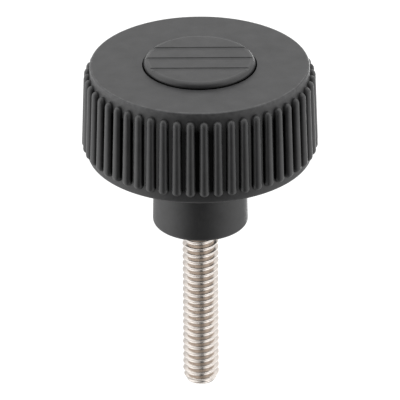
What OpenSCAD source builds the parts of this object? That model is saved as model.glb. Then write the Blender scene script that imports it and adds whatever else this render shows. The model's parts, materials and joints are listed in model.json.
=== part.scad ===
// Knurled clamping knob: a ribbed head with a boss below it, a hex-head
// screw that forms the stud, and a snap-in cap that covers the screw's head.
// Millimetres, +Z up. The origin is on the axis, in the boss's seat face.

/* [Head] */
// Diameter over the ribs, at their lower ends
grip_d = 40; // [38:0.5:46]
// Height of the head, from its lower edge to its top face
head_h = 16.6; // [15:0.1:20]
// Radius of the head's upper edge
top_edge_r = 0.3; // [0.2:0.1:0.8]
// Radius of the head's lower edge
low_edge_r = 0.6; // [0.3:0.1:0.9]
// Draft of the drum and the ribs, in degrees
draft = 2; // [1:0.25:3]

/* [Ribs] */
// Number of ribs round the head
rib_count = 52; // [40:1:54]
// Width of a rib, which has a half-round crest
rib_w = 1.7; // [1.4:0.02:1.8]
// Height of a rib's crest above the drum
rib_h = 0.95; // [0.85:0.05:1.2]
// Plain band of the drum above the ribs
band_top = 1.35; // [1:0.05:2.5]
// Plain band of the drum below the ribs
band_low = 1.45; // [1:0.05:2.5]
// Turn of the ribs about the axis, from the line of the cap's grooves, in degrees
rib_turn = 1.73; // [0.5:0.1:3]

/* [Boss] */
// Diameter of the boss at its seat face
boss_d = 16.2; // [14:0.2:20]
// Length of the boss below the head
boss_len = 13; // [9:0.5:16]
// Draft of the boss, in degrees
boss_draft = 1.25; // [0.75:0.25:3]
// Radius of the rounded edge at the seat face
boss_edge_r = 0.65; // [0.3:0.05:1]
// Radius of the fillet between the boss and the head
boss_root_r = 0.8; // [0.4:0.1:1.5]

/* [Screw] */
// Outside diameter of the thread
screw_d = 6.2; // [5:0.1:7]
// Length of the screw below the seat face
screw_reach = 30.6; // [15:0.2:50]
// Height of the screw head's seat above the seat face
screw_grip = 20.2; // [17:0.2:22]
// How much thinner the plain shank inside the knob is than the thread
shank_drop = 0.7; // [0.3:0.1:1.2]
// Width of the screw's hexagon across its flats
hex_af = 11.1; // [9:0.1:11.6]
// Height of the screw's hexagon
hex_h = 3.9; // [3:0.1:4.5]
// Diameter of the screw's flat tip
tip_d = 4.8; // [4:0.1:4.9]
// Length of the taper that leads to the tip
tip_len = 1.3; // [0.6:0.1:2]

/* [Cap] */
// Diameter of the cap
cap_d = 18.9; // [18.5:0.1:22]
// Height of the cap above the head's top face
cap_rise = 1; // [0.7:0.1:1.5]
// Radius of the cap's rounded upper edge
cap_edge_r = 1; // [0.3:0.1:1]
// Depth of the ledge that the cap's rim sits on
cap_seat = 1.6; // [1.2:0.1:2]
// Thickness of the cap's top
cap_skin = 1.6; // [1.2:0.1:2]
// Width of the cap's rim outside its snap fingers
cap_rim_w = 1.25; // [1:0.05:1.5]
// Number of grooves across the cap
groove_count = 3; // [1:1:3]
// Width of a groove
groove_w = 1.3; // [0.6:0.1:2]
// Depth of a groove
groove_depth = 0.2; // [0.1:0.05:0.5]
// Distance from one groove to the next
groove_pitch = 3.9; // [3:0.1:4.5]

/* [Snap fingers] */
// Number of fingers, in pairs that face each other
finger_count = 4; // [2:2:6]
// Length of a finger below the cap's rim
finger_len = 2.9; // [2.5:0.1:3.5]
// Thickness of a finger
finger_t = 1; // [0.7:0.05:1.1]
// Width of the slot between two fingers
finger_slot = 2; // [1:0.1:3]
// Radius of the bead that holds a finger in its groove
bead_r = 0.35; // [0.2:0.05:0.45]
// Height of the bead above the finger's lower end
bead_up = 0.9; // [0.7:0.1:1.4]

/* [Clearances] */
// Gap round the cap's rim
cap_gap = 0.2; // [0.1:0.05:0.3]
// Gap round the snap fingers and their beads
snap_gap = 0.1; // [0.05:0.05:0.2]
// Room below the snap fingers
finger_room = 0.5; // [0.3:0.1:1]
// Gap round the screw's shank
bore_gap = 0.15; // [0.05:0.05:0.3]
// Gap at each flat of the screw's hexagon
hex_gap = 0.05; // [0.02:0.01:0.1]

/* [Hidden] */
$fn = 96;
plastic = [0.13, 0.13, 0.135];
steel = [0.78, 0.76, 0.74];
cut = 1; // how far a cutter runs past the face it opens

// Levels above the seat face
head_top = boss_len + head_h;
ledge_z = head_top - cap_seat;
finger_end_z = ledge_z - finger_len;
recess_z = finger_end_z - finger_room;
rib_low_z = boss_len + band_low;
rib_top_z = head_top - band_top;
bead_z = finger_end_z + bead_up;

// Radii about the axis
taper = tan(draft);
boss_taper = tan(boss_draft);
drum_low_r = grip_d / 2 - rib_h + band_low * taper;
boss_low_r = boss_d / 2;
boss_top_r = boss_low_r - boss_len * boss_taper;
bore_r = screw_d / 2 + bore_gap;
shank_r = (screw_d - shank_drop) / 2;
finger_r = cap_d / 2 - cap_rim_w;
finger_inner_r = finger_r - finger_t;
cap_round = min(cap_edge_r, cap_rise);

// Radius of the drum's wall at a level
function drum_r(z) = drum_low_r - (z - boss_len) * taper;

// Centre of a circle of radius r that touches a level edge and a wall that
// leans by an angle, with the radius wall_r where the circle's centre lies
function edge_centre(wall_r, r, lean) = wall_r - r / cos(lean);

// Step from that centre to the point where the circle meets the wall
function to_wall(r, lean) = r * [cos(lean), sin(lean)];

// Half section of a rib: a bar with a round end at top and bottom
module rib_half_section(length) {
    intersection() {
        union() {
            translate([-rib_w / 2, rib_w / 2])
                square([rib_w, length - rib_w]);
            for (z = [rib_w / 2, length - rib_w / 2])
                translate([0, z]) circle(d = rib_w);
        }
        square([rib_w, length]);
    }
}

// One rib, standing on the drum and leaning in with its draft. It is turned so
// that the line where its surface closes lies inside the drum.
module rib() {
    length = (rib_top_z - rib_low_z) / cos(draft);
    crest_r = drum_r(rib_low_z) + rib_h;
    translate([crest_r - rib_w / 2, 0, rib_low_z])
        rotate([0, -draft, 0])
            rotate([0, 0, 180]) rotate_extrude() rib_half_section(length);
}

// Half section of the drum, with its two rounded edges
module drum_half_section() {
    low_z = boss_len + low_edge_r;
    top_z = head_top - top_edge_r;
    low_c = edge_centre(drum_r(low_z), low_edge_r, draft);
    top_c = edge_centre(drum_r(top_z), top_edge_r, draft);
    polygon([
        [0, boss_len], [low_c, boss_len],
        [low_c, low_z] + to_wall(low_edge_r, draft),
        [top_c, top_z] + to_wall(top_edge_r, draft),
        [top_c, head_top], [0, head_top]
    ]);
    translate([low_c, low_z]) circle(r = low_edge_r);
    translate([top_c, top_z]) circle(r = top_edge_r);
}

// Half section of the boss, with its rounded lower edge and its fillet
module boss_half_section() {
    edge_c = edge_centre(boss_low_r - boss_edge_r * boss_taper, boss_edge_r, boss_draft);
    polygon([
        [0, 0], [edge_c, 0],
        [edge_c, boss_edge_r] + to_wall(boss_edge_r, boss_draft),
        [boss_top_r, boss_len], [boss_top_r, boss_len + low_edge_r],
        [0, boss_len + low_edge_r]
    ]);
    translate([edge_c, boss_edge_r]) circle(r = boss_edge_r);
    difference() {
        translate([boss_top_r - cut, boss_len - boss_root_r])
            square([boss_root_r + cut, boss_root_r + low_edge_r]);
        translate([boss_top_r + boss_root_r, boss_len - boss_root_r])
            circle(r = boss_root_r);
    }
}

// Stepped recess in the head: ledge for the cap's rim, bore for its fingers
// and groove for their beads
module cap_recess() {
    rim_r = cap_d / 2 + cap_gap;
    snap_r = finger_r + snap_gap;
    translate([0, 0, ledge_z]) cylinder(r = rim_r, h = cap_seat + cut);
    translate([0, 0, recess_z]) cylinder(r = snap_r, h = ledge_z - recess_z + cut);
    rotate_extrude()
        translate([finger_r, bead_z]) circle(r = bead_r + snap_gap);
}

// Hexagonal pocket for the screw's head, and the bore for its shank
module screw_seat() {
    pocket_d = (hex_af + 2 * hex_gap) / cos(30);
    translate([0, 0, screw_grip])
        cylinder(d = pocket_d, h = recess_z - screw_grip + cut, $fn = 6);
    translate([0, 0, -cut]) cylinder(r = bore_r, h = screw_grip + 2 * cut);
}

// The moulded knob: ribbed drum and boss in one piece
module knob_body() {
    color(plastic)
        difference() {
            union() {
                rotate_extrude() {
                    drum_half_section();
                    boss_half_section();
                }
                for (i = [0 : rib_count - 1])
                    rotate([0, 0, rib_turn + i * 360 / rib_count]) rib();
            }
            cap_recess();
            screw_seat();
        }
}

// Half section of the cap: a disc with a rounded edge, hollow below, and the
// ring that the slots divide into fingers
module cap_half_section() {
    cap_r = cap_d / 2;
    cap_top = head_top + cap_rise;
    difference() {
        union() {
            polygon([
                [0, ledge_z], [cap_r, ledge_z], [cap_r, cap_top - cap_round],
                [cap_r - cap_round, cap_top], [0, cap_top]
            ]);
            translate([cap_r - cap_round, cap_top - cap_round]) circle(r = cap_round);
            translate([0, finger_end_z]) square([finger_r, finger_len + cut]);
            translate([finger_r, bead_z]) circle(r = bead_r);
        }
        translate([-cut, finger_end_z - cut])
            square([finger_inner_r + cut, cap_top - cap_skin - finger_end_z + cut]);
    }
}

// Slots that part the snap fingers
module finger_slots() {
    for (i = [0 : finger_count / 2 - 1])
        rotate([0, 0, (i + 0.5) * 360 / finger_count])
            translate([-cap_d / 2, -finger_slot / 2, finger_end_z - cut])
                cube([cap_d, finger_slot, finger_len + cut]);
}

// Straight grooves across the top of the cap
module cap_grooves() {
    first_y = -(groove_count - 1) / 2 * groove_pitch;
    for (i = [0 : groove_count - 1])
        translate([-cap_d / 2, first_y + i * groove_pitch - groove_w / 2,
                   head_top + cap_rise - groove_depth])
            cube([cap_d, groove_w, groove_depth + cut]);
}

// The snap-in cap that covers the screw's head
module cover_cap() {
    color(plastic)
        difference() {
            rotate_extrude() cap_half_section();
            finger_slots();
            cap_grooves();
        }
}

// The screw: hexagon with chamfered corners, plain shank inside the knob, and
// below the seat face a cylinder over the thread's crests, with a tapered tip
module threaded_stud() {
    corner_d = hex_af / cos(30);
    chamfer_h = (corner_d - hex_af) / 2 * tan(30);
    color(steel) {
        translate([0, 0, screw_grip])
            intersection() {
                cylinder(d = corner_d, h = hex_h, $fn = 6);
                rotate_extrude()
                    polygon([
                        [0, 0], [corner_d / 2, 0], [corner_d / 2, hex_h - chamfer_h],
                        [hex_af / 2, hex_h], [0, hex_h]
                    ]);
            }
        rotate_extrude()
            polygon([
                [0, -screw_reach], [tip_d / 2, -screw_reach],
                [screw_d / 2, -screw_reach + tip_len],
                [screw_d / 2, 0], [shank_r, shank_drop / 2],
                [shank_r, screw_grip + hex_h / 2], [0, screw_grip + hex_h / 2]
            ]);
    }
}

knob_body();
cover_cap();
threaded_stud();
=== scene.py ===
import json
import math

import bmesh
import bpy
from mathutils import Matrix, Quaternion, Vector

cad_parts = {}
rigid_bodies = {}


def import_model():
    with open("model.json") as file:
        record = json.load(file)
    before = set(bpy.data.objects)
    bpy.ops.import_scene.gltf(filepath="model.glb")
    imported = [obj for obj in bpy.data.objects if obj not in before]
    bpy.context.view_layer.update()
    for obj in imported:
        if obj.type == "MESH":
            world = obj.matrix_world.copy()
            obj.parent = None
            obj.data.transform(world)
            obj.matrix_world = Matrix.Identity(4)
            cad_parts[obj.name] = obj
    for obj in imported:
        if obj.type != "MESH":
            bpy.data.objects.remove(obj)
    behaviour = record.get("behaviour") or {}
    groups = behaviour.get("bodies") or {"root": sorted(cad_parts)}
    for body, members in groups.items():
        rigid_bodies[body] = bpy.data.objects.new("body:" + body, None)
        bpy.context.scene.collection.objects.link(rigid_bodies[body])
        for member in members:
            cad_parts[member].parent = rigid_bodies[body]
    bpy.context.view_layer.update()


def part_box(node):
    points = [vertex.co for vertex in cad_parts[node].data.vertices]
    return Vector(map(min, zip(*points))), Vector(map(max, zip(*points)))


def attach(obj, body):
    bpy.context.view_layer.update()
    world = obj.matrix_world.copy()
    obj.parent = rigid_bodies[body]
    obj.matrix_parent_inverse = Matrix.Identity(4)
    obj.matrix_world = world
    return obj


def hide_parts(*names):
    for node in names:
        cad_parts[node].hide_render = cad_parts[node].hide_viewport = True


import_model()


# ---------------------------------------------------------------- knob body
# The knob itself: one moulding in black glass-filled nylon. The drum and the
# boss are drafted so that they leave the mould, and 52 ribs with half-round
# crests and domed ends stand on the drum. Its recess takes the cap.

MM = 0.001  # sizes are in millimetres, and the scene is in metres
HEAD_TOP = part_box("knob_body")[1].z / MM
BOSS_LEN = 13.0
DRAFT = math.radians(2.0)
EDGE_TOP_R = 0.3
EDGE_LOW_R = 0.6

RIB_COUNT = 52
RIB_TURN = math.radians(2.05)
RIB_LOW_R = 0.92
RIB_TOP_R = 0.75
RIB_H = 0.95
DOME_STRETCH = 1.3
CREST_R = 20.0
BAND_LOW = 1.45
BAND_TOP = 1.4
RIB_LOW_Z = BOSS_LEN + BAND_LOW
RIB_TOP_Z = HEAD_TOP - BAND_TOP
RIB_LEN = (RIB_TOP_Z - RIB_LOW_Z) / math.cos(DRAFT)
DRUM_LOW_R = CREST_R - RIB_H + BAND_LOW * math.tan(DRAFT)
DRUM_TOP_R = CREST_R - RIB_H - (HEAD_TOP - RIB_LOW_Z) * math.tan(DRAFT)
TOP_FLAT_R = DRUM_TOP_R - EDGE_TOP_R

BOSS_R = 8.1
BOSS_DRAFT = math.radians(1.25)
BOSS_EDGE_R = 0.65
BOSS_ROOT_R = 0.8

RIM_R = 9.65
RIM_EDGE_R = 0.05
LEDGE_Z = HEAD_TOP - 1.6
SNAP_R = 8.3
FINGER_R = 8.2
FINGER_END_Z = LEDGE_Z - 2.9
BEAD_Z = FINGER_END_Z + 0.9
BEAD_GROOVE_R = 0.45
BEAD_GROOVE_END = math.degrees(math.acos((SNAP_R - FINGER_R) / BEAD_GROOVE_R))
RECESS_Z = FINGER_END_Z - 0.5
POCKET_FLAT_R = 5.6
SCREW_SEAT_Z = 20.2
BORE_R = 3.25
BORE_CHAMFER = 0.25

PITCH = 2 * math.pi / RIB_COUNT
PITCH_STEPS = 6
DOME_STEPS = 2 * PITCH_STEPS
CREST_STEPS = 8
RIB_ROWS = 6
CELL_PAST = 0.3  # how far the ribbed strip reaches past the ribs' ends
CELL_TOP_Z = RIB_TOP_Z + CELL_PAST
CELL_LOW_Z = RIB_LOW_Z - CELL_PAST
EDGE_STEPS = 6
RIM_STEPS = 4
BEAD_STEPS = 8
FLAT_RING = 2.0  # width of the ring of faces beside an edge on a flat face
SHARP = math.radians(32)
WELD = 0.002


def drum_r(z):
    """Radius of the drum's wall at a height."""
    return DRUM_LOW_R - (z - BOSS_LEN) * math.tan(DRAFT)


def hexagon(flat_r, turn):
    """Radius of a hexagon with a corner on +X, at an angle."""
    return flat_r / math.cos(turn % (math.pi / 3) - math.pi / 6)


def at(r, turn, z):
    """A point by radius, angle and height."""
    return Vector((r * math.cos(turn), r * math.sin(turn), z))


def arc(r, z, radius, start, end, steps):
    """Points of a profile's arc about (r, z); 0 degrees is outwards, 90 is up."""
    turns = [math.radians(start + (end - start) * i / steps) for i in range(steps + 1)]
    return [(r + radius * math.cos(t), z + radius * math.sin(t)) for t in turns]


def put(name, data):
    """Adds an object to the scene."""
    obj = bpy.data.objects.new(name, data)
    bpy.context.scene.collection.objects.link(obj)
    return obj


def shape(name, form):
    """Adds a finished form to the scene, as a mesh object."""
    mesh = bpy.data.meshes.new(name)
    form.to_mesh(mesh)
    form.free()
    return put(name, mesh)


def lathe(name, profile, steps, start=0.0):
    """A surface turned from a profile of (radius, height) points. A radius may
    be a function of the angle, and a radius of 0 closes the surface. A third
    number turns one ring further, so that it meets the points of another part."""
    form = bmesh.new()
    rings = []
    for r, z, *further in profile:
        if r == 0:
            rings.append([form.verts.new((0, 0, z))] * steps)
            continue
        turns = [start + sum(further) + 2 * math.pi * i / steps for i in range(steps)]
        rings.append([form.verts.new(at(r(t) if callable(r) else r, t, z)) for t in turns])
    for low, high in zip(rings, rings[1:]):
        for i in range(steps):
            k = (i + 1) % steps
            corners = dict.fromkeys((low[i], low[k], high[k], high[i]))
            form.faces.new(list(corners))
    return shape(name, form)


def body_profile():
    """The body's section from the ribs' upper ends over the top, down inside
    and back up the outside to the ribs' lower ends."""
    wall = math.degrees(DRAFT)
    boss_wall = math.degrees(BOSS_DRAFT)
    top_c = drum_r(HEAD_TOP - EDGE_TOP_R) - EDGE_TOP_R / math.cos(DRAFT)
    low_c = drum_r(BOSS_LEN + EDGE_LOW_R) - EDGE_LOW_R / math.cos(DRAFT)
    boss_c = BOSS_R - BOSS_EDGE_R * (math.tan(BOSS_DRAFT) + 1 / math.cos(BOSS_DRAFT))
    root_c = BOSS_R - BOSS_LEN * math.tan(BOSS_DRAFT) + BOSS_ROOT_R

    def pocket(turn):
        return hexagon(POCKET_FLAT_R, turn)

    return [
        (drum_r(CELL_TOP_Z), CELL_TOP_Z),
        *arc(top_c, HEAD_TOP - EDGE_TOP_R, EDGE_TOP_R, wall, 90, EDGE_STEPS),
        (top_c - FLAT_RING, HEAD_TOP),
        (RIM_R + FLAT_RING, HEAD_TOP),
        *arc(RIM_R + RIM_EDGE_R, HEAD_TOP - RIM_EDGE_R, RIM_EDGE_R, 90, 180, RIM_STEPS),
        (RIM_R, LEDGE_Z),
        (SNAP_R, LEDGE_Z),
        *arc(FINGER_R, BEAD_Z, BEAD_GROOVE_R, BEAD_GROOVE_END, -BEAD_GROOVE_END, BEAD_STEPS),
        (SNAP_R, RECESS_Z),
        (pocket, RECESS_Z),
        (pocket, SCREW_SEAT_Z),
        (BORE_R, SCREW_SEAT_Z),
        (BORE_R, BORE_CHAMFER),
        (BORE_R + BORE_CHAMFER, 0),
        *arc(boss_c, BOSS_EDGE_R, BOSS_EDGE_R, -90, boss_wall, EDGE_STEPS),
        *arc(root_c, BOSS_LEN - BOSS_ROOT_R, BOSS_ROOT_R, 180 + boss_wall, 90, EDGE_STEPS),
        (low_c - FLAT_RING, BOSS_LEN),
        *arc(low_c, BOSS_LEN + EDGE_LOW_R, EDGE_LOW_R, -90, wall, EDGE_STEPS),
        (drum_r(CELL_LOW_Z), CELL_LOW_Z),
    ]


def rib_cell():
    """One pitch of the ribbed strip: a rib on its piece of drum. The rib is a
    round bar with ball ends that narrows upwards, sunk in the drum so that its
    crest stands proud along the drum's draft."""
    out = Vector((math.cos(DRAFT), 0, math.sin(DRAFT)))
    up = Vector((-math.sin(DRAFT), 0, math.cos(DRAFT)))
    side = Vector((0, 1, 0))
    corner = PITCH_STEPS // 2

    def on_bar(share, across, turn):
        """A point of the bar at a share of its length, and a share of the way
        from its crest to the drum in a direction that turns about the crest."""
        r = RIB_LOW_R + (RIB_TOP_R - RIB_LOW_R) * share
        s = RIB_LOW_R + (RIB_LEN - RIB_LOW_R - RIB_TOP_R * DOME_STRETCH) * share
        axis = Vector((CREST_R, 0, RIB_LOW_Z)) + up * s - out * r
        stretch = DOME_STRETCH if turn > 0 else 1
        away = side * math.cos(turn) + up * math.sin(turn) * stretch
        spread = math.acos((r - RIB_H) / r) * across
        p = axis + r * (out * math.cos(spread) + away * math.sin(spread))
        if abs(across) == 1:
            p.x = math.sqrt(drum_r(p.z) ** 2 - p.y**2)
        return p

    form = bmesh.new()
    spreads = [j / CREST_STEPS for j in range(-CREST_STEPS, CREST_STEPS + 1)]
    rows = []
    for k in range(RIB_ROWS + 1):
        bar = [form.verts.new(on_bar(k / RIB_ROWS, spread, 0)) for spread in spreads]
        z = bar[0].co.z
        flank = [form.verts.new(at(drum_r(z), t, z)) for t in (-PITCH / 2, PITCH / 2)]
        rows.append([flank[0], *bar, flank[1]])
    for low, high in zip(rows, rows[1:]):
        for i in range(len(low) - 1):
            form.faces.new((low[i], low[i + 1], high[i + 1], high[i]))

    for row, share, way, band_z in ((rows[-1], 1, 1, CELL_TOP_Z), (rows[0], 0, -1, CELL_LOW_Z)):
        crest = row[1 + CREST_STEPS]
        flank_z = row[0].co.z
        fans = []
        for m in range(DOME_STEPS + 1):
            turn = way * math.pi * m / DOME_STEPS
            if m in (0, DOME_STEPS):
                fan = row[1 + CREST_STEPS:] if m == 0 else row[1 + CREST_STEPS::-1]
            else:
                fan = [crest]
                for spread in spreads[CREST_STEPS + 1:]:
                    fan.append(form.verts.new(on_bar(share, spread, turn)))
                across = max(-1, min(1, (PITCH_STEPS - m) / corner))
                along = min(1, m / corner, (DOME_STEPS - m) / corner)
                z = flank_z + (band_z - flank_z) * along
                fan.append(form.verts.new(at(drum_r(z), across * PITCH / 2, z)))
            fans.append(fan)
        for a, b in zip(fans, fans[1:]):
            form.faces.new((crest, a[1], b[1]))
            for i in range(1, len(a) - 1):
                form.faces.new((a[i], a[i + 1], b[i + 1], b[i]))
    return shape("rib_cell", form)


def feed(tree, node, **sockets):
    """Puts values or links to a node's sockets, by name or by number."""
    for key, value in sockets.items():
        socket = node.inputs[int(key[1:]) if key[1:].isdigit() else key.replace("_", " ")]
        if isinstance(value, bpy.types.NodeSocket):
            tree.links.new(value, socket)
        else:
            socket.default_value = value


def add(tree, kind, settings=None, **sockets):
    """A new node, with its settings and the values or links of its sockets."""
    node = tree.nodes.new(kind)
    for key, value in (settings or {}).items():
        setattr(node, key, value)
    feed(tree, node, **sockets)
    return node


def calc(tree, operation, *values):
    """The result of a Math node on numbers or sockets."""
    numbered = {"_%d" % i: value for i, value in enumerate(values)}
    return add(tree, "ShaderNodeMath", {"operation": operation}, **numbered).outputs[0]


def product(tree, mask, *others):
    """The product of several masks."""
    for other in others:
        mask = calc(tree, "MULTIPLY", mask, other)
    return mask


def ease(tree, value, start, end, low=0.0, high=1.0):
    """A value that goes smoothly from low to high between two limits."""
    return add(tree, "ShaderNodeMapRange", {"interpolation_type": "SMOOTHSTEP"},
               Value=value, From_Min=start, From_Max=end, To_Min=low, To_Max=high).outputs[0]


def near(tree, value, size, reach, low=0.0, high=1.0):
    """An ease over a reach: two distances from a size, negative short of it."""
    return ease(tree, value, size + reach[0], size + reach[1], low, high)


def blend(tree, share, first, second):
    """A number between two others: the first at share 0, the second at share 1."""
    return add(tree, "ShaderNodeMix", {"data_type": "FLOAT"}, _0=share, _2=first,
               _3=second).outputs[0]


def tint(tree, share, first, second):
    """A colour between two others, as blend does it for numbers."""
    return add(tree, "ShaderNodeMix", {"data_type": "RGBA"}, _0=share, _6=first,
               _7=second).outputs[2]


class Tree:
    """A node group with named inputs and outputs, for a modifier or a material."""

    def __init__(self, name, gives=None, **takes):
        kind = "ShaderNodeTree" if gives else "GeometryNodeTree"
        if not gives:
            gives = {"Geometry": "Geometry"}
            takes = {"Geometry": "Geometry", **takes}
        self.tree = bpy.data.node_groups.new(name, kind)
        self.ids = {}
        for label, socket in gives.items():
            self.socket("OUTPUT", label, socket)
        for label, socket in takes.items():
            self.ids[label] = self.socket("INPUT", label, socket)
        self.inputs = self.tree.nodes.new("NodeGroupInput")
        self.output = self.tree.nodes.new("NodeGroupOutput")

    def socket(self, side, label, kind):
        """Adds an input or an output, and gives its identifier."""
        return self.tree.interface.new_socket(
            label.replace("_", " "), in_out=side, socket_type="NodeSocket" + kind).identifier

    def given(self, label):
        return self.inputs.outputs[label]

    def node(self, kind, settings=None, **sockets):
        return add(self.tree, kind, settings, **sockets)

    def calc(self, operation, *values):
        return calc(self.tree, operation, *values)

    def finish(self, *lasts):
        """Links the results to the group's outputs, in their order."""
        for last, socket in zip(lasts, self.output.inputs):
            self.tree.links.new(last, socket)

    def along_z(self, level):
        return self.node("ShaderNodeCombineXYZ", Z=level).outputs[0]

    def about_z(self, turn):
        """A rotation about the axis by an angle."""
        euler = self.along_z(turn)
        return self.node("FunctionNodeEulerToRotation", Euler=euler).outputs[0]

    def copies(self, label, points, **sockets):
        """Real copies of the given object at points."""
        item = self.node("GeometryNodeObjectInfo", Object=self.given(label))
        placed = self.node("GeometryNodeInstanceOnPoints", Points=points,
                           Instance=item.outputs["Geometry"], **sockets)
        return self.node("GeometryNodeRealizeInstances", Geometry=placed.outputs[0]).outputs[0]

    def weld(self, part):
        """The part and the given geometry as one skin."""
        both = self.node("GeometryNodeJoinGeometry")
        self.tree.links.new(part, both.inputs[0])
        self.tree.links.new(self.given("Geometry"), both.inputs[0])
        return self.node("GeometryNodeMergeByDistance", Geometry=both.outputs[0],
                         Distance=self.given("Weld")).outputs[0]

    def coat(self, geometry):
        """Ends the tree with the given material on the geometry."""
        self.finish(self.node("GeometryNodeSetMaterial", Geometry=geometry,
                              Material=self.given("Finish")).outputs[0])

    def grow(self, obj, **values):
        """Runs the tree on an object and keeps the result as its plain mesh."""
        modifier = obj.modifiers.new("shape", "NODES")
        modifier.node_group = self.tree
        for label, value in values.items():
            modifier[self.ids[label]] = value
        graph = bpy.context.evaluated_depsgraph_get()
        mesh = bpy.data.meshes.new_from_object(obj.evaluated_get(graph))
        obj.modifiers.clear()
        obj.data = mesh

    def use(self, tree, **sockets):
        """Places the group in a material, with its own values, for its outputs."""
        return add(tree, "ShaderNodeGroup", {"node_tree": self.tree}, **sockets).outputs


def rib_ring_tree():
    """Repeats one rib's cell round the drum and welds it into the body."""
    t = Tree("rib_ring", Cell="Object", Count="Int", Turn="Float", Weld="Float",
             Finish="Material")
    points = t.node("GeometryNodePoints", Count=t.given("Count"))
    index = t.node("GeometryNodeInputIndex")
    pitch = t.calc("DIVIDE", 2 * math.pi, t.given("Count"))
    turn = t.calc("MULTIPLY_ADD", index.outputs[0], pitch, t.given("Turn"))
    ring = t.copies("Cell", points.outputs[0], Rotation=t.about_z(turn))
    t.coat(t.weld(ring))
    return t


def dress(obj):
    """Scales a piece from millimetres, turns its faces outwards and shades it
    smooth but for its sharp edges, with its wide faces kept flat."""
    form = bmesh.new()
    form.from_mesh(obj.data)
    bmesh.ops.recalc_face_normals(form, faces=form.faces)
    bmesh.ops.scale(form, vec=(MM, MM, MM), verts=form.verts)
    form.to_mesh(obj.data)
    form.free()
    for face in obj.data.polygons:
        face.use_smooth = True
    obj.data.set_sharp_from_angle(angle=SHARP)
    weigh = obj.modifiers.new("flats", "WEIGHTED_NORMAL")
    weigh.keep_sharp = True
    weigh.weight = 100
    graph = bpy.context.evaluated_depsgraph_get()
    obj.data = bpy.data.meshes.new_from_object(obj.evaluated_get(graph))
    obj.modifiers.clear()
    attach(obj, "root")


def shader(name):
    """A new material, its node tree and its one surface shader."""
    made = bpy.data.materials.new(name)
    made.use_nodes = True
    return made, made.node_tree, made.node_tree.nodes["Principled BSDF"]


def moulded_grain():
    """The fine spark-eroded grain of a moulded face, on a faintly clouded tone."""
    t = Tree("moulded_grain", {"Color": "Color", "Roughness": "Float", "Normal": "Vector"},
             Position="Vector", Tone="Color", Cloud="Float", Speck="Float",
             Grain_Scale="Float", Depth="Float", Gloss_Low="Float", Gloss_High="Float")
    cloud = t.node("ShaderNodeTexNoise", Vector=t.given("Position"), Scale=300.0,
                   Detail=4.0, Roughness=0.6).outputs[0]
    grain = t.node("ShaderNodeTexNoise", Vector=t.given("Position"),
                   Scale=t.given("Grain Scale"), Detail=2.0, Roughness=0.6).outputs[0]
    soft = t.calc("MULTIPLY", t.calc("SUBTRACT", cloud, 0.5), t.given("Cloud"))
    fine = t.calc("MULTIPLY", t.calc("SUBTRACT", grain, 0.5), t.given("Speck"))
    level = t.calc("ADD", t.calc("ADD", soft, fine), 1.0)
    color = t.node("ShaderNodeVectorMath", {"operation": "SCALE"}, _0=t.given("Tone"),
                   Scale=level)
    gloss = t.node("ShaderNodeMapRange", Value=grain, From_Min=0.3, From_Max=0.7,
                   To_Min=t.given("Gloss Low"), To_Max=t.given("Gloss High"))
    bump = t.node("ShaderNodeBump", Height=grain, Distance=t.given("Depth"))
    t.finish(color.outputs[0], gloss.outputs[0], bump.outputs[0])
    return t


# Painted colours: a grey painted highlight and a near-black painted shade, with the roughness
# where the shade lies
HIGHLIGHT_TONE = (0.1, 0.1, 0.102, 1)
SHADE_TONE = (0.004, 0.004, 0.004, 1)
POLISHED_ROUGHNESS = 0.27
SHADE_ROUGHNESS = 0.22


def polish_and_painted_light():
    """A moulding's skin: polished edges, painted shade in its depths and painted
    highlights in patches, each by its own mask."""
    t = Tree("polish_and_painted_light", {"Color": "Color", "Roughness": "Float"}, Color="Color",
             Roughness="Float", Polish="Float", Shade="Float", Rub="Float")
    highlighted = tint(t.tree, t.given("Rub"), t.given("Color"), HIGHLIGHT_TONE)
    tone = tint(t.tree, t.given("Shade"), highlighted, SHADE_TONE)
    gloss = blend(t.tree, t.given("Polish"), t.given("Roughness"), POLISHED_ROUGHNESS)
    t.finish(tone, blend(t.tree, t.given("Shade"), gloss, SHADE_ROUGHNESS))
    return t


def polar(tree, where):
    """The radius and the height of a position, in millimetres."""
    part = add(tree, "ShaderNodeSeparateXYZ", _0=where).outputs
    squares = calc(tree, "MULTIPLY_ADD", part["X"], part["X"],
                   calc(tree, "MULTIPLY", part["Y"], part["Y"]))
    radius = calc(tree, "DIVIDE", calc(tree, "SQRT", squares), MM)
    return radius, calc(tree, "DIVIDE", part["Z"], MM)


# Where the body's masks start and end: each pair is two distances from the
# size that it is used with, or two heights above the drum's wall.
GAP_FLOOR = (0.15, 0.7)
GAP_LOW_END = (0.2, 1.2)
GAP_TOP_END = (-2.4, -0.4)
GRIP_DEPTH = 2.2
EDGE_RING = (-0.05, 0.1)
EDGE_FALL = (-EDGE_TOP_R, -EDGE_TOP_R / 2)
CREST_PROUD = (0.4, 0.7)
BAND_RING = (0, 0.25)
DOME_REACH = (-1.5, -0.6)
DOME_PROUD = (0.2, 0.5)
LINE_INSIDE = (-0.2, -0.05)
LINE_OUTSIDE = (0, 0.15)
LINE_FALL = (-0.6, -0.3)

# How far each place is polished or lightened by painted highlight, and how patchy the highlights
# are
CREST_POLISH = 0.7
BAND_HIGHLIGHT = (0.1, 0.5)
DOME_GLINT = 0.42
LINE_HIGHLIGHT = 0.8
LINE_PATCHES = (0.45, 0.62)
HIGHLIGHT_PATCHES = (0.3, 0.7)
HIGHLIGHT_RANGE = (0.5, 1.5)

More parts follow.
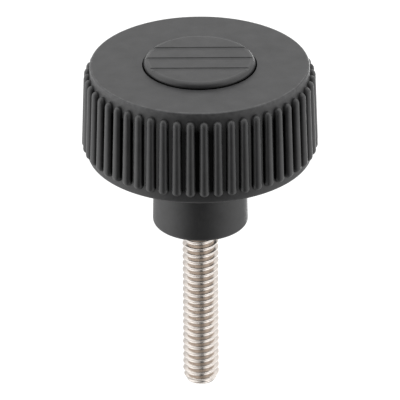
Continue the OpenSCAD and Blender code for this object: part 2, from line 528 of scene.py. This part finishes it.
grain = moulded_grain()
painted_light = polish_and_painted_light()
moulded, tree, skin = shader("moulded_nylon")
where = tree.nodes.new("ShaderNodeTexCoord").outputs["Object"]
face = grain.use(tree, Position=where, Tone=(0.043, 0.043, 0.044, 1), Cloud=1.0, Speck=0.4,
                 Grain_Scale=5200.0, Depth=0.000008, Gloss_Low=0.38, Gloss_High=0.52)
radius, level = polar(tree, where)
wall = calc(tree, "MULTIPLY_ADD", level, -math.tan(DRAFT), drum_r(0))
proud = calc(tree, "SUBTRACT", radius, wall)
on_grip = calc(tree, "GREATER_THAN", radius, CREST_R - GRIP_DEPTH)
# Painted shade: the floors of the gaps between the ribs are darkened to near black
gap_shade = product(tree, ease(tree, proud, *GAP_FLOOR, 1, 0),
               near(tree, level, RIB_LOW_Z, GAP_LOW_END),
               near(tree, level, RIB_TOP_Z, GAP_TOP_END, 1, 0), on_grip)
edge = product(tree, near(tree, radius, TOP_FLAT_R, EDGE_RING),
               near(tree, level, HEAD_TOP, EDGE_FALL))
crests = product(tree, ease(tree, proud, *CREST_PROUD, 0, CREST_POLISH), on_grip)
spots = add(tree, "ShaderNodeTexNoise", Vector=where, Scale=1500.0, Detail=3.0).outputs[0]
# Painted highlights: the band under the top edge, the ribs' upper domes and a line of specks along
# the top edge are lightened, in patches
band_highlight = product(tree, ease(tree, level, RIB_TOP_Z, HEAD_TOP - EDGE_TOP_R, *BAND_HIGHLIGHT),
               near(tree, radius, TOP_FLAT_R, BAND_RING))
dome_glints = product(tree, near(tree, level, RIB_TOP_Z, DOME_REACH, 0, DOME_GLINT),
                ease(tree, proud, *DOME_PROUD))
edge_line_glint = product(tree, near(tree, radius, TOP_FLAT_R, LINE_INSIDE, 0, LINE_HIGHLIGHT),
               near(tree, radius, TOP_FLAT_R, LINE_OUTSIDE, 1, 0),
               near(tree, level, HEAD_TOP, LINE_FALL), ease(tree, spots, *LINE_PATCHES))
highlights = product(tree, calc(tree, "MAXIMUM", band_highlight, dome_glints),
              ease(tree, spots, *HIGHLIGHT_PATCHES, *HIGHLIGHT_RANGE))
look = painted_light.use(
    tree, Color=face["Color"], Roughness=face["Roughness"], Shade=gap_shade,
    Polish=calc(tree, "MAXIMUM", edge, crests), Rub=calc(tree, "MAXIMUM", highlights, edge_line_glint))
feed(tree, skin, Base_Color=look["Color"], Roughness=look["Roughness"], Normal=face["Normal"])

knob = lathe("knob_moulding", body_profile(), RIB_COUNT * PITCH_STEPS, RIB_TURN)
cell = rib_cell()
rib_ring_tree().grow(knob, Cell=cell, Count=RIB_COUNT, Turn=RIB_TURN, Weld=WELD, Finish=moulded)
bpy.data.objects.remove(cell)
dress(knob)
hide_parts("knob_body")


# ---------------------------------------------------------------- cover cap
# The snap-in cap that hides the screw's head: a disc of the same nylon with a
# rounded edge and three shallow grooves across it. Its four fingers snap into
# the groove below the ledge.

CAP_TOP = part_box("cover_cap")[1].z / MM
CAP_R = 9.45
CAP_EDGE_R = 0.92
CAP_FLAT_R = CAP_R - CAP_EDGE_R
CAP_SKIN = 1.6
FINGER_T = 1.0
FINGER_SLOT = 2.0
FINGER_PAIRS = 2
BEAD_R = 0.35
GROOVE_COUNT = 3
GROOVE_W = 1.3
GROOVE_DEPTH = 0.2
GROOVE_PITCH = 3.9
CAP_STEPS = 288
CAP_EDGE_STEPS = 12
PAST = 0.5  # how far a cutter reaches past the face it opens

CAP_EDGE_RING = (-0.1, 0.15)
JOINT_RISE = (0, 0.4)
JOINT_RING = (-0.2, -0.1)


def cap_profile():
    """The cap's section from the middle of its top round to its hollow."""
    return [
        (0, CAP_TOP),
        (CAP_FLAT_R - FLAT_RING, CAP_TOP),
        *arc(CAP_FLAT_R, CAP_TOP - CAP_EDGE_R, CAP_EDGE_R, 90, 0, CAP_EDGE_STEPS),
        (CAP_R, LEDGE_Z),
        (FINGER_R, LEDGE_Z),
        *arc(FINGER_R, BEAD_Z, BEAD_R, 90, -90, BEAD_STEPS),
        (FINGER_R, FINGER_END_Z),
        (FINGER_R - FINGER_T, FINGER_END_Z),
        (FINGER_R - FINGER_T, CAP_TOP - CAP_SKIN),
        (0, CAP_TOP - CAP_SKIN),
    ]


def cutter(half):
    """A bar along X that cuts a slot. Its outline is given by one half, as
    points (y, z) from the top down."""
    outline = half + [(-y, z) for y, z in half[::-1] if y]
    form = bmesh.new()
    ends = [[form.verts.new((x, y, z)) for y, z in outline] for x in (-CAP_R - PAST, CAP_R + PAST)]
    for i in range(len(outline)):
        form.faces.new((ends[0][i - 1], ends[0][i], ends[1][i], ends[1][i - 1]))
    form.faces.new(ends[0])
    form.faces.new(ends[1][::-1])
    bmesh.ops.recalc_face_normals(form, faces=form.faces)
    return shape("cutter", form)


def cut_tree():
    """Cuts a row of bars out of a piece: each a step and a turn from the last."""
    t = Tree("bar_cuts", Bar="Object", Count="Int", Step="Float", First="Float", Turn="Float",
             First_Turn="Float", Finish="Material")
    points = t.node("GeometryNodePoints", Count=t.given("Count"))
    index = t.node("GeometryNodeInputIndex")
    along = t.calc("MULTIPLY_ADD", index.outputs[0], t.given("Step"), t.given("First"))
    place = t.node("ShaderNodeCombineXYZ", Y=along)
    moved = t.node("GeometryNodeSetPosition", Geometry=points.outputs[0],
                   Position=place.outputs[0])
    turn = t.calc("MULTIPLY_ADD", index.outputs[0], t.given("Turn"), t.given("First Turn"))
    bars = t.copies("Bar", moved.outputs[0], Rotation=t.about_z(turn))
    cut = t.node("GeometryNodeMeshBoolean", {"operation": "DIFFERENCE", "solver": "EXACT"},
                 _0=t.given("Geometry"), _1=bars)
    t.coat(cut.outputs[0])
    return t


capped, tree, skin = shader("cap_nylon")
where = tree.nodes.new("ShaderNodeTexCoord").outputs["Object"]
face = grain.use(tree, Position=where, Tone=(0.045, 0.045, 0.046, 1), Cloud=1.0, Speck=0.4,
                 Grain_Scale=5600.0, Depth=0.000007, Gloss_Low=0.38, Gloss_High=0.52)
radius, level = polar(tree, where)
edge = near(tree, radius, CAP_FLAT_R, CAP_EDGE_RING)
# Painted shade: the cap's wall is darkened where it sits down in the joint
joint_shade = product(tree, near(tree, level, HEAD_TOP, JOINT_RISE, 1, 0),
                near(tree, radius, CAP_R, JOINT_RING))
look = painted_light.use(tree, Color=face["Color"], Roughness=face["Roughness"], Polish=edge,
                   Shade=joint_shade)
feed(tree, skin, Base_Color=look["Color"], Roughness=look["Roughness"], Normal=face["Normal"])

cap = lathe("cap_moulding", cap_profile(), CAP_STEPS)
groove = cutter([
    (GROOVE_W / 2, CAP_TOP + PAST),
    (GROOVE_W / 2, CAP_TOP),
    (GROOVE_W / 2 - 0.1, CAP_TOP - 0.6 * GROOVE_DEPTH),
    (GROOVE_W / 2 - 0.4, CAP_TOP - 0.9 * GROOVE_DEPTH),
    (0, CAP_TOP - GROOVE_DEPTH),
])
slot = cutter([(FINGER_SLOT / 2, LEDGE_Z), (FINGER_SLOT / 2, FINGER_END_Z - PAST)])
cuts = cut_tree()
cuts.grow(cap, Bar=groove, Count=GROOVE_COUNT, Step=GROOVE_PITCH,
          First=-GROOVE_PITCH * (GROOVE_COUNT - 1) / 2, Turn=0.0, First_Turn=0.0, Finish=capped)
cuts.grow(cap, Bar=slot, Count=FINGER_PAIRS, Step=0.0, First=0.0,
          Turn=math.pi / FINGER_PAIRS, First_Turn=math.pi / FINGER_PAIRS / 2, Finish=capped)
for bar in (groove, slot):
    bpy.data.objects.remove(bar)
dress(cap)
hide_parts("cover_cap")


# -------------------------------------------------------------------- screw
# The stud is a stainless hexagon-head screw, pressed into the knob from above
# before the cap goes on. Its thread is rolled, so crests and roots are round.

TIP_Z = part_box("threaded_stud")[0].z / MM
HEX_TOP_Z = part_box("threaded_stud")[1].z / MM
HEX_FLAT_R = 5.55
HEX_CHAMFER = math.radians(30)
SHANK_R = 2.75
THREAD_PITCH = 1.27
THREAD_R = 3.1
ROOT_R = 2.4
THREAD_H = THREAD_R - ROOT_R
FLANK = math.radians(30)
CREST_ROUND = 0.15
ROOT_ROUND = THREAD_PITCH / 2 / math.tan(FLANK) - CREST_ROUND - THREAD_H
THREAD_START = math.radians(-62)
RUN_OUT_Z = 1.6
RUN_OUT_LEN = 1.3
TIP_LEN = 1.3
TURN_STEPS = 96
CREST_PARTS = 3
ROOT_PARTS = 5


def thread_radius(u):
    """Radius of the thread's surface at a distance along the axis from a crest."""
    from_root = THREAD_PITCH / 2 - abs(u)
    if abs(u) < CREST_ROUND * math.cos(FLANK):
        return THREAD_R - CREST_ROUND + math.sqrt(CREST_ROUND**2 - u * u)
    if from_root < ROOT_ROUND * math.cos(FLANK):
        return ROOT_R + ROOT_ROUND - math.sqrt(ROOT_ROUND**2 - from_root**2)
    return THREAD_R + CREST_ROUND - abs(u) / math.tan(FLANK)


def thread_rows():
    """Distances from the crest, from root to root, close where the form bends."""
    crest = [CREST_ROUND * math.cos(FLANK) * math.sin(math.radians(90 * k / CREST_PARTS))
             for k in range(CREST_PARTS + 1)]
    root = [THREAD_PITCH / 2
            - ROOT_ROUND * math.cos(FLANK) * math.sin(math.radians(90 * k / ROOT_PARTS))
            for k in range(ROOT_PARTS, -1, -1)]
    half = [*crest, (crest[-1] + root[0]) / 2, *root]
    return [-u for u in half[:0:-1]] + half


def thread_turn():
    """One turn of the thread, a strip from root to root that climbs by its pitch."""
    form = bmesh.new()
    rows = []
    for u in thread_rows():
        rows.append([
            form.verts.new(at(thread_radius(u), THREAD_START + 2 * math.pi * i / TURN_STEPS,
                              u + THREAD_PITCH * i / TURN_STEPS))
            for i in range(TURN_STEPS + 1)
        ])
    for low, high in zip(rows, rows[1:]):
        for i in range(TURN_STEPS):
            form.faces.new((low[i], low[i + 1], high[i + 1], high[i]))
    return shape("thread_turn", form)


def thread_tree():
    """Stacks turns of thread, trims them to a taper at each end and welds them to
    the plain parts of the screw."""
    t = Tree("rolled_thread", Turn="Object", Count="Int", Pitch="Float", Low="Float",
             High="Float", Core="Float", Low_Slope="Float", High_Slope="Float",
             Weld="Float", Finish="Material")
    low, high, core = t.given("Low"), t.given("High"), t.given("Core")
    points = t.node("GeometryNodePoints", Count=t.given("Count"))
    index = t.node("GeometryNodeInputIndex")
    level = t.calc("MULTIPLY_ADD", index.outputs[0], t.given("Pitch"),
                   t.calc("SUBTRACT", low, t.given("Pitch")))
    moved = t.node("GeometryNodeSetPosition", Geometry=points.outputs[0],
                   Position=t.along_z(level))
    stack = t.copies("Turn", moved.outputs[0])

    place = t.node("ShaderNodeSeparateXYZ", _0=t.node("GeometryNodeInputPosition").outputs[0])
    z = place.outputs["Z"]
    flat = t.node("ShaderNodeCombineXYZ", X=place.outputs["X"], Y=place.outputs["Y"])
    radius = t.node("ShaderNodeVectorMath", {"operation": "LENGTH"}, _0=flat.outputs[0])
    out = t.node("ShaderNodeVectorMath", {"operation": "NORMALIZE"}, _0=flat.outputs[0])
    low_r = t.calc("MULTIPLY_ADD", t.calc("SUBTRACT", z, low), t.given("Low Slope"), core)
    high_r = t.calc("MULTIPLY_ADD", t.calc("SUBTRACT", high, z), t.given("High Slope"), core)
    tapered = t.calc("MINIMUM", radius.outputs["Value"], t.calc("MINIMUM", low_r, high_r))
    kept_r = t.calc("MAXIMUM", tapered, core)
    kept_z = t.calc("MINIMUM", t.calc("MAXIMUM", z, low), high)
    side = t.node("ShaderNodeVectorMath", {"operation": "SCALE"}, _0=out.outputs[0], Scale=kept_r)
    kept = t.node("ShaderNodeVectorMath", {"operation": "ADD"}, _0=side.outputs[0],
                  _1=t.along_z(kept_z))
    trimmed = t.node("GeometryNodeSetPosition", Geometry=stack, Position=kept.outputs[0])
    t.coat(t.weld(trimmed.outputs[0]))
    return t


def screw_ends():
    """The plain parts of the screw: the flat tip, and the shank and the hexagon.
    The ring that meets the thread has its points on those of the thread."""
    corner_r = hexagon(HEX_FLAT_R, 0)
    chamfer_h = (corner_r - HEX_FLAT_R) * math.tan(HEX_CHAMFER)

    def side(turn):
        return hexagon(HEX_FLAT_R, turn)

    def half_chamfered(turn):
        return min(side(turn), HEX_FLAT_R + chamfer_h / 2 / math.tan(HEX_CHAMFER))

    on_thread = THREAD_START % (2 * math.pi / TURN_STEPS)
    tip = lathe("tip", [(0, TIP_Z), (ROOT_R, TIP_Z)], TURN_STEPS, on_thread)
    top = lathe("screw", [
        (ROOT_R, RUN_OUT_Z, on_thread),
        (SHANK_R, RUN_OUT_Z + SHANK_R - ROOT_R),
        (SHANK_R, SCREW_SEAT_Z),
        (side, SCREW_SEAT_Z),
        (side, HEX_TOP_Z - chamfer_h),
        (half_chamfered, HEX_TOP_Z - chamfer_h / 2),
        (HEX_FLAT_R, HEX_TOP_Z),
        (0, HEX_TOP_Z),
    ], TURN_STEPS)
    form = bmesh.new()
    form.from_mesh(top.data)
    form.from_mesh(tip.data)
    form.to_mesh(top.data)
    form.free()
    bpy.data.objects.remove(tip)
    return top


# Painted shade: flanks that face up or down take a darker copy of the steel's colour
LIT_STEEL = (0.725, 0.68, 0.643, 1)
SHADED_STEEL = (0.465, 0.4, 0.345, 1)
UPPER_FLANK = (0.25, 0.85)
UPPER_SHADE = 0.3
LOWER_FLANK = (-0.3, -0.7)
MARK_STRETCH = (0.25, 0.25, 1)

steel, tree, skin = shader("rolled_steel")
skin.inputs["Metallic"].default_value = 1
coords = tree.nodes.new("ShaderNodeTexCoord").outputs
upward = add(tree, "ShaderNodeSeparateXYZ", _0=coords["Normal"]).outputs["Z"]
facing_shade = calc(tree, "MAXIMUM", ease(tree, upward, *UPPER_FLANK, 0, UPPER_SHADE),
            ease(tree, upward, *LOWER_FLANK))
along = add(tree, "ShaderNodeVectorMath", {"operation": "MULTIPLY"}, _0=coords["Object"],
            _1=MARK_STRETCH).outputs[0]
marks = add(tree, "ShaderNodeTexNoise", Vector=along, Scale=9000.0, Detail=2.0).outputs[0]
waves = add(tree, "ShaderNodeTexNoise", Vector=coords["Object"], Scale=1100.0,
            Detail=1.0).outputs[0]
tone = add(tree, "ShaderNodeVectorMath", {"operation": "SCALE"},
           _0=tint(tree, facing_shade, LIT_STEEL, SHADED_STEEL), Scale=calc(tree, "MULTIPLY_ADD", marks, 0.16, 0.92))
relief = add(tree, "ShaderNodeBump", Height=calc(tree, "MULTIPLY_ADD", marks, 0.08, waves),
             Distance=0.00003)
feed(tree, skin, Base_Color=tone.outputs[0], Normal=relief.outputs[0],
     Roughness=calc(tree, "MULTIPLY_ADD", waves, 0.16, 0.16))

screw = screw_ends()
one_turn = thread_turn()
thread_tree().grow(
    screw, Turn=one_turn, Count=math.ceil((RUN_OUT_Z - TIP_Z) / THREAD_PITCH) + 2,
    Pitch=THREAD_PITCH, Low=TIP_Z, High=RUN_OUT_Z, Core=ROOT_R,
    Low_Slope=THREAD_H / TIP_LEN, High_Slope=THREAD_H / RUN_OUT_LEN, Weld=WELD, Finish=steel)
bpy.data.objects.remove(one_turn)
dress(screw)
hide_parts("threaded_stud")


# ------------------------------------------------------------------- studio
# A white studio: the camera looks down on the knob, a plain floor lies below
# it, and the sky and two soft panels behind light everything. Five more soft
# panels stand round the screw alone, as its polished flanks need.

CAMERA_DOWN = math.radians(27.61)
CAMERA_ROLL = math.radians(-0.3)
CAMERA_AWAY = 1.1  # metres
CAMERA_AIM = Vector((-0.054 * MM, 0, (HEAD_TOP - 25.75) * MM))
LENS = 582.6  # focal length, in millimetres
SENSOR = 36.0
FLOOR_Z = -0.12
FLOOR_R = 3.0
FLOOR_GLOW = 0.6

view_up = Vector((0, -math.cos(CAMERA_DOWN), math.sin(CAMERA_DOWN)))
lens = bpy.data.cameras.new("camera")
lens.lens = LENS
lens.sensor_width = SENSOR
lens.clip_start = 0.05
lens.clip_end = 20
camera = put("camera", lens)
camera.location = CAMERA_AIM + view_up * CAMERA_AWAY
camera.rotation_euler = (
    (-view_up).to_track_quat("-Z", "Y") @ Quaternion((0, 0, 1), CAMERA_ROLL)
).to_euler()
bpy.context.scene.camera = camera

form = bmesh.new()
bmesh.ops.create_circle(form, cap_ends=True, segments=64, radius=FLOOR_R)
bmesh.ops.translate(form, vec=(0, 0, FLOOR_Z), verts=form.verts)
floor = shape("floor", form)
paper, tree, skin = shader("white_paper")
feed(tree, skin, Base_Color=(0.5, 0.5, 0.5, 1), Roughness=0.9)
glow = add(tree, "ShaderNodeEmission", Strength=FLOOR_GLOW)
lit = add(tree, "ShaderNodeAddShader", _0=skin.outputs[0], _1=glow.outputs[0])
clear = add(tree, "ShaderNodeBsdfTransparent")
below = add(tree, "ShaderNodeNewGeometry").outputs["Backfacing"]
one_sided = add(tree, "ShaderNodeMixShader", _0=below, _1=lit.outputs[0], _2=clear.outputs[0])
feed(tree, tree.nodes["Material Output"], _0=one_sided.outputs[0])
floor.data.materials.append(paper)
floor.visible_diffuse = False
floor.visible_glossy = False

SIDE_LIGHT = 1.35
BACK_SHADE = (0.6, -0.1)
LEFT_GAIN = 0.13
FRONT_GLOW = 0.12
TOP_LIGHT = (1.05, 1.45)
UNDER_LIGHT = 0.4

world = bpy.data.worlds.new("white_studio")
world.use_nodes = True
bpy.context.scene.world = world
sky_tree = world.node_tree


def sky(operation, *values):
    return calc(sky_tree, operation, *values)


def over(value, start, end, low=0.0, high=1.0):
    """An ease between two angles given in degrees."""
    return ease(sky_tree, value, math.radians(start), math.radians(end), low, high)


# The light by direction: dark in front, bright at the sides, dimmer low down
# behind, and even overhead and underneath
toward = add(sky_tree, "ShaderNodeTexCoord").outputs["Generated"]
toward = add(sky_tree, "ShaderNodeSeparateXYZ", _0=toward).outputs
off_front = sky("ABSOLUTE", sky("ARCTAN2", toward["X"], sky("MULTIPLY", toward["Y"], -1.0)))
height = sky("ARCSINE", toward["Z"])
flank = sky("SUBTRACT", off_front, over(height, -15, 10, 0.0, math.radians(12)))
back = sky("MULTIPLY", over(off_front, 85, 150), over(height, 10, 50, *BACK_SHADE))
light = sky("SUBTRACT", over(flank, 5, 70, 0.0, SIDE_LIGHT), back)
light = sky("MULTIPLY", light, sky("SUBTRACT", 1.0, sky("MULTIPLY", toward["X"], LEFT_GAIN)))
light = sky("MAXIMUM", light, over(height, -5, 30, 0.0, FRONT_GLOW))
light = blend(sky_tree, over(height, 38, 76), light, over(off_front, 0, 150, *TOP_LIGHT))
light = blend(sky_tree, over(height, -45, -75), light, UNDER_LIGHT)
path = add(sky_tree, "ShaderNodeLightPath").outputs
seen = sky("MAXIMUM", path["Is Camera Ray"], path["Is Transmission Ray"])
feed(sky_tree, sky_tree.nodes["Background"], Color=(1, 1, 1, 1),
     Strength=blend(sky_tree, seen, light, 1.0))


def softbox(name, azimuth, elevation, distance, size, radiance, only=None):
    """A rectangular soft lamp that faces the object, with its bearing from -Y
    and its height in degrees and its distance and size in metres."""
    lamp = bpy.data.lights.new(name, "AREA")
    lamp.shape = "RECTANGLE"
    lamp.size, lamp.size_y = size
    lamp.energy = radiance * math.pi * size[0] * size[1]
    obj = put(name, lamp)
    a, e = math.radians(azimuth), math.radians(elevation)
    way = Vector((math.sin(a) * math.cos(e), -math.cos(a) * math.cos(e), math.sin(e)))
    obj.location = way * distance
    obj.rotation_euler = (-way).to_track_quat("-Z", "Y").to_euler()
    obj.visible_camera = False
    if only:
        obj.light_linking.receiver_collection = only


screw_only = bpy.data.collections.new("screw_only")
screw_only.objects.link(screw)
softbox("back_right", 160, -14, 1.2, (0.42, 0.8), 2.2)
softbox("back_left", -160, -14, 1.2, (0.42, 0.8), 0.3)
softbox("left_strip", -29, -5, 0.8, (0.64, 0.8), 0.5, screw_only)
softbox("right_strip", 41, 5, 0.8, (0.64, 0.8), 0.98, screw_only)
softbox("low_fill", 6, -36, 0.8, (1.3, 0.45), 0.7, screw_only)
softbox("right_back", 125, -8, 0.8, (1.0, 0.9), 0.5, screw_only)
softbox("below", 0, -75, 0.8, (1.2, 0.8), 0.6, screw_only)

bpy.context.scene.view_settings.view_transform = "Standard"
